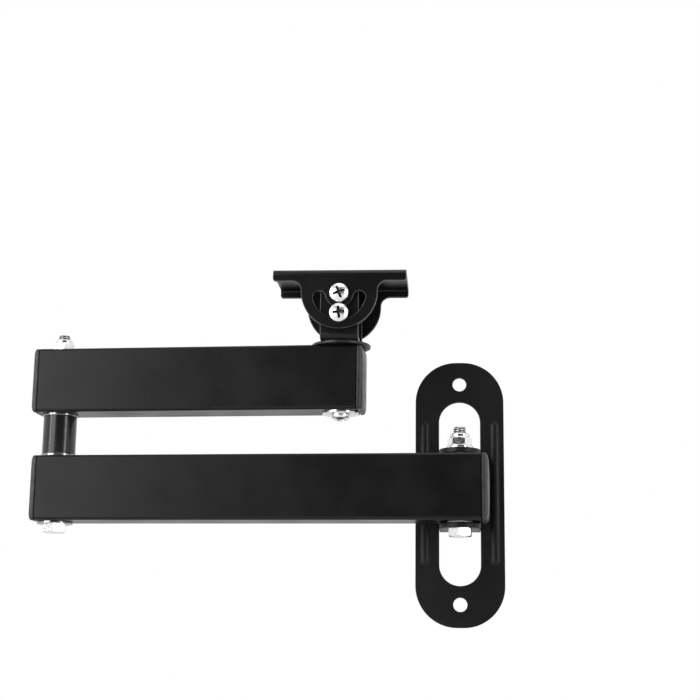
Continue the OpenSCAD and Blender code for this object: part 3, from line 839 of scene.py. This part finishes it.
def zinc_plate(name, tint):
    """Metal with cloudy gloss and fine grain, and painted shade in its threads and recesses: a darker colour by
    the points' cavity share.
    """
    material, tree, shader = empty_material(name)
    # Painted shade: the cavity share blends the colour towards the painted recess shade colour
    cavity = tree.nodes.new("ShaderNodeAttribute")
    cavity.attribute_name = "cavity"
    painted_shade = tree.nodes.new("ShaderNodeMix")
    painted_shade.data_type = "RGBA"
    painted_shade.inputs["B"].default_value = (*finishes().painted_recess_shade, 1)
    clean = patchy_colour(tree, tint, shaded(tint, 0.9), scale=400, detail=4)
    share = spread(tree, cavity.outputs["Fac"], 0, 1, start=0.15, end=0.9)
    tree.links.new(clean, painted_shade.inputs["A"])
    tree.links.new(share, painted_shade.inputs["Factor"])
    tree.links.new(painted_shade.outputs["Result"], shader.inputs["Base Color"])
    shader.inputs["Metallic"].default_value = 1.0
    patchy_roughness(tree, shader, low=0.14, high=0.26, scale=700, detail=4)
    bump(tree, shader, ZINC_GRAIN)
    return material


def natural_nylon():
    """Milky nylon."""
    nylon = finishes().nylon
    material, tree, shader = empty_material("natural_nylon")
    colour = patchy_colour(tree, nylon, shaded(nylon, 1.08), scale=350, detail=3)
    tree.links.new(colour, shader.inputs["Base Color"])
    patchy_roughness(tree, shader, low=0.38, high=0.5, scale=500, detail=2)
    bump(tree, shader, NYLON_GRAIN)
    return material


MAKERS = {
    "satin": satin_paint, "plate": plate_paint, "edge": painted_edge_highlight_paint, "gloss": gloss_paint,
    "plastic": cap_plastic, "disc": disc_plastic, "zinc": bright_zinc, "dull": dull_zinc,
    "nylon": natural_nylon,
}
_made = {}


def material(key):
    """A finish by its short name, made once."""
    if key not in _made:
        _made[key] = MAKERS[key]()
    return _made[key]


SLOTS = {
    "satin": "black_paint", "plate": "black_paint", "gloss": "gloss_paint",
    "plastic": "black_plastic", "disc": "black_plastic", "zinc": "bright_zinc",
    "dull": "bright_zinc", "nylon": "white_nylon",
}


def finish_node(node, key):
    """Gives a carried-over CAD node a finish."""
    piece = frame["nodes"][node]
    piece.data.materials.clear()
    piece.data.materials.append(material(key))
    return piece


# Operators

class BRACKET_OT_paint_sheet_metal(bpy.types.Operator):
    """Paint the plate, tubes and folded brackets and round their punched edges"""

    bl_idname = "bracket.paint_sheet_metal"
    bl_label = "Paint sheet metal"

    # Points that are one, the angle under which faces are one, and the angle
    # over which an edge is rounded
    WELD = 1e-6
    FLAT = math.radians(0.4)
    SHARP = math.radians(50)

    def execute(self, context):
        self.round_edges(finish_node("wall_plate", "plate"))
        for node in ("swivel_bracket", "tilt_bracket"):
            piece = finish_node(node, "satin")
            # The bevelled edges take the painted edge highlight
            piece.data.materials.append(material("edge"))
            self.round_edges(piece, 1)
        for node in ("lower_arm_tube", "upper_arm_tube"):
            finish_node(node, "satin")
        for node in ("lower_arm_sleeve_wall", "lower_arm_sleeve_elbow",
                     "upper_arm_sleeve_elbow", "upper_arm_sleeve_head"):
            finish_node(node, "zinc")
        return {"FINISHED"}

    def round_edges(self, piece, edge_material=-1):
        """Weld the loose triangles, join the flat ones and bevel what is sharp.
        The rounded edges take the numbered material, or their sides' own."""
        weld = piece.modifiers.new("weld", "WELD")
        weld.merge_threshold = self.WELD
        flat = piece.modifiers.new("flat", "DECIMATE")
        flat.decimate_type = "DISSOLVE"
        flat.angle_limit = self.FLAT
        bevel = piece.modifiers.new("edges", "BEVEL")
        bevel.limit_method = "ANGLE"
        bevel.angle_limit = self.SHARP
        bevel.width = finishes().edge_radius
        bevel.segments = 3
        bevel.use_clamp_overlap = False
        bevel.harden_normals = True
        bevel.material = edge_material


class BRACKET_OT_make_bolts(bpy.types.Operator):
    """Make the two hexagon bolts with their threads"""

    bl_idname = "bracket.make_bolts"
    bl_label = "Make bolts"

    def execute(self, context):
        sizes = hardware()
        # Name, node and turn about its own axis
        for name, node, turn in (("pivot_bolt", "wall_pivot_bolt", -0.12),
                                 ("elbow_bolt_zinc", "elbow_bolt", 0.12)):
            centre, size = node_box(node)
            across_flats = size[1]
            surface, cavity = hex_bolt_surface(
                across_flats, sizes.head_height, sizes.bolt_diameter,
                size[2] - sizes.head_height, sizes.bolt_pitch, sizes.bolt_tail)
            seat = centre - np.array([0, 0, size[2] / 2 - sizes.head_height])
            new_piece(name, placed(surface, seat, UP, turn), node, "zinc", [node],
                      cavity=cavity)
        return {"FINISHED"}


class BRACKET_OT_make_lock_nuts(bpy.types.Operator):
    """Make the locking nuts and the nylon rings in them"""

    bl_idname = "bracket.make_lock_nuts"
    bl_label = "Make locking nuts"

    # Across the flats, a nut over this size sits on a bolt, else on a screw.
    BOLT_NUT = 0.009
    # The nylon ring's radius as a share of the width across flats, its bite
    # into the thread, and its foot, top and rounding as shares of the height
    RING_REACH = 0.325
    RING_BITE = 0.0001
    RING_FOOT, RING_TOP, RING_ROUND = 0.8, 0.93, 0.04

    def execute(self, context):
        for name, node, turn in (("pivot_lock_nut", "wall_pivot_nut", 0.42),
                                 ("elbow_lock_nut", "elbow_nut", 0.24),
                                 ("head_lock_nut", "head_nut", 0.3)):
            centre, size = node_box(node)
            self.make_nut(name, node, centre - np.array([0, 0, size[2] / 2]), UP,
                          size[1], size[2], turn)
        for name, node, axis in (("tilt_lock_nut_front", "tilt_nut_front", BACK),
                                 ("tilt_lock_nut_rear", "tilt_nut_rear", FRONT),
                                 ("slot_lock_nut", "lock_nut", BACK)):
            centre, size = node_box(node)
            seat = centre - np.array(axis) * size[1] / 2
            self.make_nut(name, node, seat, axis, size[2], size[1], 0.0)
        return {"FINISHED"}

    def make_nut(self, name, node, seat, axis, across_flats, height, turn):
        """The nut and its ring, which stands in the collar round the thread."""
        sizes = hardware()
        big = across_flats > self.BOLT_NUT
        diameter = sizes.bolt_diameter if big else sizes.screw_diameter
        nut = lock_nut_surface(across_flats, height, diameter)
        new_piece(name, placed(nut, seat, axis, turn), node, "zinc", [node], close_rows=True)
        ring = ring_surface(across_flats * self.RING_REACH, diameter / 2 - self.RING_BITE,
                            height * self.RING_FOOT, height * self.RING_TOP,
                            height * self.RING_ROUND)
        new_piece(f"{name}_ring", placed(ring, seat, axis), node, "nylon", close_rows=True)


class BRACKET_OT_make_cross_screws(bpy.types.Operator):
    """Make the pan head screws with their cross recesses"""

    bl_idname = "bracket.make_cross_screws"
    bl_label = "Make cross screws"

    def execute(self, context):
        # Name, node, axis, the axis's number and turn about it
        screws = (
            ("head_cross_screw", "head_screw", DOWN, 2, 0.4),
            ("tilt_cross_screw_front", "tilt_screw_front", FRONT, 1, 0.35),
            ("tilt_cross_screw_rear", "tilt_screw_rear", BACK, 1, 0.8),
            ("slot_cross_screw", "lock_screw", FRONT, 1, 0.1),
        )
        sizes = hardware()
        for name, node, axis, along, turn in screws:
            centre, size = node_box(node)
            diameter = size[0]
            length = size[along] - sizes.pan_height
            seat = centre + np.array(axis) * (size[along] / 2 - sizes.pan_height)
            surface, cavity = pan_screw_surface(diameter, sizes.pan_height, sizes.screw_diameter,
                                                length, sizes.screw_pitch)
            new_piece(name, placed(surface, seat, axis, turn), node, "zinc", [node],
                      cavity=cavity)
        return {"FINISHED"}


class BRACKET_OT_make_rings(bpy.types.Operator):
    """Make the washers, bushes, spacer and disc with soft edges"""

    bl_idname = "bracket.make_rings"
    bl_label = "Make washers and spacer"

    # Name, node, finish and the pin inside
    RINGS = (
        ("pivot_washer", "wall_pivot_washer", "zinc", "bolt"),
        ("elbow_head_washer", "elbow_bolt_washer", "dull", "bolt"),
        ("spacer_washer_lower", "elbow_washer_lower", "dull", "bolt"),
        ("spacer_washer_upper", "elbow_washer_upper", "dull", "bolt"),
        ("spacer", "elbow_spacer", "gloss", "bolt"),
        ("pivot_bush_top", "wall_bush_top", "nylon", "bolt"),
        ("pivot_bush_bottom", "wall_bush_bottom", "nylon", "bolt"),
        ("head_washer", "head_screw_washer", "zinc", "screw"),
        ("turning_disc", "swivel_disc", "disc", "screw"),
    )
    # Room round a pin in its ring
    BORE_GAP = 0.0002

    def execute(self, context):
        sizes = hardware()
        for name, node, key, pin in self.RINGS:
            centre, size = node_box(node)
            bore = (sizes.bolt_diameter if pin == "bolt" else sizes.screw_diameter) / 2
            ring = ring_surface(size[0] / 2, bore + self.BORE_GAP, -size[2] / 2, size[2] / 2,
                                sizes.washer_edge)
            new_piece(name, placed(ring, centre), node, key, [node], close_rows=True)
        return {"FINISHED"}


class BRACKET_OT_make_end_caps(bpy.types.Operator):
    """Make the moulded caps in the tubes' ends"""

    bl_idname = "bracket.make_end_caps"
    bl_label = "Make end caps"

    # The tube's depth and outer corners, and how far a cap stands out of it
    TUBE_DEPTH = 0.020
    TUBE_CORNER = 0.0016
    CAP_OUT = 0.0032

    def execute(self, context):
        wall, elbow, head = (joint_place(j) for j in ("wall_swing", "elbow", "head_swivel"))
        for name, node, start, end in (
                ("lower_cap_wall", "lower_arm_cap_wall", elbow, wall),
                ("lower_cap_elbow", "lower_arm_cap_elbow", wall, elbow),
                ("upper_cap_elbow", "upper_arm_cap_elbow", head, elbow),
                ("upper_cap_head", "upper_arm_cap_head", elbow, head)):
            along = (end - start) * np.array([1, 1, 0])
            along /= np.linalg.norm(along)
            centre, size = node_box(node)
            # The crown's far end touches the node's box on the side it faces.
            tip_x = centre[0] + math.copysign(size[0] / 2, along[0])
            tip = end + along * (tip_x - end[0]) / along[0]
            seat = tip - along * self.CAP_OUT
            seat[2] = centre[2]
            across = np.cross(UP, along)
            surface = cap_surface(self.TUBE_DEPTH, size[2], self.TUBE_CORNER, self.CAP_OUT)
            basis = np.array([across, UP, along])
            new_piece(name, surface @ basis + seat, node, "plastic", [node])
        return {"FINISHED"}


class BRACKET_OT_set_studio(bpy.types.Operator):
    """Set the camera, the pale floor and the soft light"""

    bl_idname = "bracket.set_studio"
    bl_label = "Set studio"

    # Name, place, width and height, and the setting of its power
    LIGHTS = (
        ("softbox_left", (-0.80, -1.05, 0.25), (0.5, 1.2), "softbox_power"),
        ("strip_left", (-1.12, -0.75, 0.25), (0.14, 1.3), "strip_power"),
        ("strip_right", (0.95, -0.8, 0.2), (0.14, 1.3), "strip_power"),
        ("top", (0.0, -0.3, 1.25), (1.0, 1.0), "top_power"),
    )
    FLOOR_HALF = 6.0
    FLOOR_COLOUR = (0.9, 0.9, 0.9, 1)
    FLOOR_ROUGHNESS = 0.9
    FLOOR_SPECULAR = 0.1
    # Share of plain white that each kind of ray sees of the floor
    FLOOR_SHARES = (("Is Camera Ray", 0.9), ("Is Glossy Ray", 0.62), ("Is Transmission Ray", 0.9))
    # Cosines to the front between which mirrored surroundings dim
    DIM_FROM, DIM_TO = 0.1, 0.92

    def execute(self, context):
        studio = context.scene.bracket_studio
        self.place_camera(context.scene, studio)
        self.lay_floor(studio)
        self.light_surroundings(context.scene, studio)
        for name, place, size, power in self.LIGHTS:
            self.add_light(name, place, size, getattr(studio, power))
        context.scene.view_settings.view_transform = "Standard"
        return {"FINISHED"}

    def place_camera(self, scene, studio):
        """Camera from yaw, pitch and roll: its forward line is turned left by
        the yaw and lifted by the pitch, and the frame rolls round that line."""
        yaw, pitch, roll = studio.camera_yaw, studio.camera_pitch, studio.camera_roll
        forward = np.array([-math.sin(yaw) * math.cos(pitch),
                            math.cos(yaw) * math.cos(pitch), math.sin(pitch)])
        level = np.array([math.cos(yaw), math.sin(yaw), 0.0])
        over = np.cross(level, forward)
        right = math.cos(roll) * level + math.sin(roll) * over
        above = -math.sin(roll) * level + math.cos(roll) * over
        camera = bpy.data.objects.new("camera", bpy.data.cameras.new("camera"))
        scene.collection.objects.link(camera)
        turn = Matrix(np.column_stack([right, above, -forward]).tolist()).to_4x4()
        camera.matrix_world = Matrix.Translation(studio.camera_place) @ turn
        camera.data.sensor_width = 36.0
        camera.data.lens = studio.lens
        camera.data.clip_start, camera.data.clip_end = 0.01, 30.0
        scene.camera = camera

    def lay_floor(self, studio):
        """A pale floor under the bracket that keeps its shadow."""
        low, _ = CAD_BOUNDS
        half, height = self.FLOOR_HALF, low[2] - studio.floor_drop
        mesh = bpy.data.meshes.new("floor")
        mesh.from_pydata([(x * half, y * half, height) for x, y in
                          ((-1, -1), (1, -1), (1, 1), (-1, 1))], [], [(0, 1, 2, 3)])
        floor = bpy.data.objects.new("floor", mesh)
        bpy.context.scene.collection.objects.link(floor)
        paint, tree, shader = empty_material("pale_floor")
        shader.inputs["Base Color"].default_value = self.FLOOR_COLOUR
        shader.inputs["Roughness"].default_value = self.FLOOR_ROUGHNESS
        shader.inputs["Specular IOR Level"].default_value = self.FLOOR_SPECULAR
        glow = tree.nodes.new("ShaderNodeEmission")
        glow.inputs["Color"].default_value = (1, 1, 1, 1)
        mix = tree.nodes.new("ShaderNodeMixShader")
        tree.links.new(self.seen_share(tree), mix.inputs[0])
        tree.links.new(shader.outputs["BSDF"], mix.inputs[1])
        tree.links.new(glow.outputs["Emission"], mix.inputs[2])
        output = next(n for n in tree.nodes if n.type == "OUTPUT_MATERIAL")
        tree.links.new(mix.outputs["Shader"], output.inputs["Surface"])
        mesh.materials.append(paint)

    def seen_share(self, tree):
        """How much a ray sees of the floor as plain white: most of it straight
        from the camera or through glass, less in a mirror, and none as light
        that the floor throws back on the bracket."""
        path = tree.nodes.new("ShaderNodeLightPath")
        total = None
        for name, share in self.FLOOR_SHARES:
            scaled = tree.nodes.new("ShaderNodeMath")
            scaled.operation = "MULTIPLY"
            scaled.inputs[1].default_value = share
            tree.links.new(path.outputs[name], scaled.inputs[0])
            if total is None:
                total = scaled.outputs["Value"]
                continue
            most = tree.nodes.new("ShaderNodeMath")
            most.operation = "MAXIMUM"
            tree.links.new(total, most.inputs[0])
            tree.links.new(scaled.outputs["Value"], most.inputs[1])
            total = most.outputs["Value"]
        return total

    def light_surroundings(self, scene, studio):
        """White surroundings, full white where they are seen. Mirrored, they are
        white as well, and fall to a dim room towards the front, by the smooth
        step of the cosine between a ray and the front."""
        world = bpy.data.worlds.new("white_surroundings")
        world.use_nodes = True
        scene.world = world
        tree = world.node_tree
        tree.nodes.clear()
        output = tree.nodes.new("ShaderNodeOutputWorld")
        glow = tree.nodes.new("ShaderNodeBackground")
        glow.inputs["Color"].default_value = (1, 1, 1, 1)
        tree.links.new(glow.outputs["Background"], output.inputs["Surface"])
        place = tree.nodes.new("ShaderNodeTexCoord")
        front = tree.nodes.new("ShaderNodeVectorMath")
        front.operation = "DOT_PRODUCT"
        front.inputs[1].default_value = FRONT
        tree.links.new(place.outputs["Generated"], front.inputs[0])
        mirrored = tree.nodes.new("ShaderNodeMapRange")
        mirrored.interpolation_type = "SMOOTHSTEP"
        mirrored.inputs["From Min"].default_value = self.DIM_FROM
        mirrored.inputs["From Max"].default_value = self.DIM_TO
        mirrored.inputs["To Min"].default_value = 1.0
        mirrored.inputs["To Max"].default_value = studio.room
        tree.links.new(front.outputs["Value"], mirrored.inputs["Value"])
        path = tree.nodes.new("ShaderNodeLightPath")
        glossy = self.blend_values(tree, path.outputs["Is Glossy Ray"], studio.sky,
                                   mirrored.outputs["Result"])
        through = self.blend_values(tree, path.outputs["Is Transmission Ray"], glossy, 1.0)
        seen = self.blend_values(tree, path.outputs["Is Camera Ray"], through, 1.0)
        tree.links.new(seen, glow.inputs["Strength"])

    def blend_values(self, tree, share, first, second):
        """A number between two, by a share; either may be a socket."""
        node = tree.nodes.new("ShaderNodeMix")
        node.data_type = "FLOAT"
        tree.links.new(share, node.inputs["Factor"])
        for name, value in (("A", first), ("B", second)):
            if isinstance(value, float):
                node.inputs[name].default_value = value
            else:
                tree.links.new(value, node.inputs[name])
        return node.outputs["Result"]

    def add_light(self, name, place, size, power):
        """A rectangular light that faces the bracket."""
        low, high = CAD_BOUNDS
        data = bpy.data.lights.new(name, "AREA")
        data.shape = "RECTANGLE"
        data.size, data.size_y = size
        data.energy = power
        light = bpy.data.objects.new(name, data)
        bpy.context.scene.collection.objects.link(light)
        toward = (low + high) / 2 - Vector(place)
        turn = toward.to_track_quat("-Z", "Y").to_matrix().to_4x4()
        light.matrix_world = Matrix.Translation(place) @ turn


class BRACKET_PT_panel(bpy.types.Panel):
    """Lists the bracket's settings and steps in the sidebar"""

    bl_idname = "BRACKET_PT_panel"
    bl_label = "Wall bracket"
    bl_space_type = "VIEW_3D"
    bl_region_type = "UI"
    bl_category = "Bracket"

    def draw(self, context):
        layout = self.layout
        for group in ("bracket_finishes", "bracket_hardware", "bracket_caps", "bracket_studio"):
            settings = getattr(context.scene, group)
            box = layout.box()
            for name in settings.__annotations__:
                box.prop(settings, name)
        for operator in OPERATORS:
            layout.operator(operator.bl_idname)


OPERATORS = (
    BRACKET_OT_set_studio, BRACKET_OT_paint_sheet_metal, BRACKET_OT_make_bolts,
    BRACKET_OT_make_lock_nuts, BRACKET_OT_make_cross_screws, BRACKET_OT_make_rings,
    BRACKET_OT_make_end_caps,
)
GROUPS = {
    "bracket_finishes": FinishSettings, "bracket_hardware": HardwareSettings,
    "bracket_caps": CapSettings, "bracket_studio": StudioSettings,
}


def register():
    for kind in (*GROUPS.values(), *OPERATORS, BRACKET_PT_panel):
        bpy.utils.register_class(kind)
    for name, kind in GROUPS.items():
        setattr(bpy.types.Scene, name, PointerProperty(type=kind))


def unregister():
    for name in GROUPS:
        delattr(bpy.types.Scene, name)
    for kind in (BRACKET_PT_panel, *OPERATORS, *GROUPS.values()):
        bpy.utils.unregister_class(kind)


def main():
    register()
    bpy.ops.bracket.set_studio()
    bpy.ops.bracket.paint_sheet_metal()
    bpy.ops.bracket.make_bolts()
    bpy.ops.bracket.make_lock_nuts()
    bpy.ops.bracket.make_cross_screws()
    bpy.ops.bracket.make_rings()
    bpy.ops.bracket.make_end_caps()


if __name__ == "__main__":
    main()
